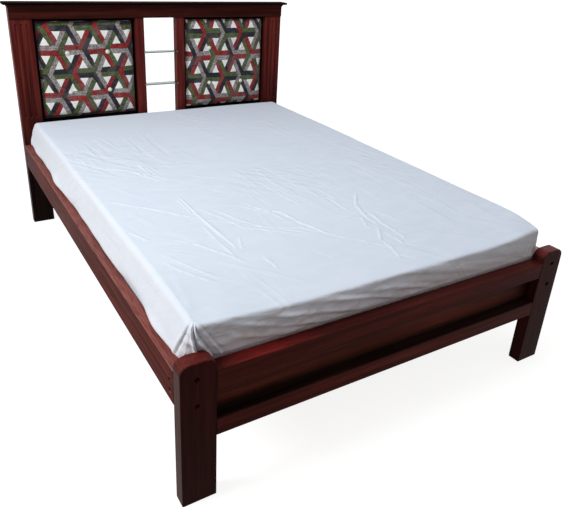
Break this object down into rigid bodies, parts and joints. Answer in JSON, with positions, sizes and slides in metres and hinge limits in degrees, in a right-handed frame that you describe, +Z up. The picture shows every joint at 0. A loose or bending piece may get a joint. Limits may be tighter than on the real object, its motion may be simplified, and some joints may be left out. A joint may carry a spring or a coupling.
{
  "type": "upholstered double bed",
  "caption": "Stained hardwood double bed with buttoned fabric pads and a glass-shelved niche in the headboard, bolt-on rails, loose slats, mattress and sheet.",
  "frame": {"origin": "on the floor, at the middle of the bounding box", "axes": "+X to the right seen from the foot, +Y from the foot to the headboard, +Z up"},
  "size_m": [1.498, 2.055, 1.0963],
  "materials": {
    "mahogany": "satin varnish over red-brown stain",
    "dark_mahogany": "satin varnish over near-black stain",
    "softwood": "planed, unfinished",
    "plywood": "plywood stained dark",
    "print_fabric": "printed upholstery weave over foam",
    "button_cloth": "plain cream cloth over a button mould",
    "glass": "polished clear glass",
    "zinc_steel": "zinc plated",
    "ticking": "woven ticking over foam",
    "sheet_cotton": "plain cotton, lightly creased"
  },
  "bodies": {
    "bed_frame": {"cap_cove": "mahogany", "corner_bracket_foot_left": "zinc_steel", "corner_bracket_foot_right": "zinc_steel", "corner_bracket_head_left": "zinc_steel", "corner_bracket_head_right": "zinc_steel", "foot_lower_rail": "mahogany", "foot_panel": "mahogany", "foot_post_left": "mahogany", "foot_post_right": "mahogany", "foot_top_rail": "mahogany", "head_cap": "dark_mahogany", "head_lower_rail": "mahogany", "head_post_left": "mahogany", "head_post_right": "mahogany", "head_top_rail": "mahogany", "mullion_left": "mahogany", "mullion_right": "mahogany", "pad_board_left": "plywood", "pad_board_right": "plywood", "pad_button_left_1": "button_cloth", "pad_button_left_2": "button_cloth", "pad_button_left_3": "button_cloth", "pad_button_left_4": "button_cloth", "pad_button_right_1": "button_cloth", "pad_button_right_2": "button_cloth", "pad_button_right_3": "button_cloth", "pad_button_right_4": "button_cloth", "pad_left": "print_fabric", "pad_right": "print_fabric", "post_bolt_foot_left_lower": "zinc_steel", "post_bolt_foot_left_upper": "zinc_steel", "post_bolt_foot_right_lower": "zinc_steel", "post_bolt_foot_right_upper": "zinc_steel", "post_bolt_head_left_lower": "zinc_steel", "post_bolt_head_left_upper": "zinc_steel", "post_bolt_head_right_lower": "zinc_steel", "post_bolt_head_right_upper": "zinc_steel", "rail_bolt_foot_left_lower": "zinc_steel", "rail_bolt_foot_left_upper": "zinc_steel", "rail_bolt_foot_right_lower": "zinc_steel", "rail_bolt_foot_right_upper": "zinc_steel", "rail_bolt_head_left_lower": "zinc_steel", "rail_bolt_head_left_upper": "zinc_steel", "rail_bolt_head_right_lower": "zinc_steel", "rail_bolt_head_right_upper": "zinc_steel", "side_rail_left": "mahogany", "side_rail_right": "mahogany", "slat_1": "softwood", "slat_2": "softwood", "slat_3": "softwood", "slat_4": "softwood", "slat_5": "softwood", "slat_6": "softwood", "slat_7": "softwood", "slat_ledger_left": "softwood", "slat_ledger_right": "softwood"},
    "mattress": {"mattress": "ticking", "bed_sheet": "sheet_cotton"},
    "upper_shelf": {"glass_shelf_upper": "glass"},
    "lower_shelf": {"glass_shelf_lower": "glass"}
  },
  "joints": [
    {"name": "mattress_lift", "type": "slide", "parent": "bed_frame", "child": "mattress", "axis": [0, 0, 1], "range_m": [0, 0.115]},
    {"name": "upper_shelf_slide", "type": "slide", "parent": "bed_frame", "child": "upper_shelf", "axis": [0, -1, 0], "range_m": [0, 0.06]},
    {"name": "lower_shelf_slide", "type": "slide", "parent": "bed_frame", "child": "lower_shelf", "axis": [0, -1, 0], "range_m": [0, 0.06]}
  ]
}
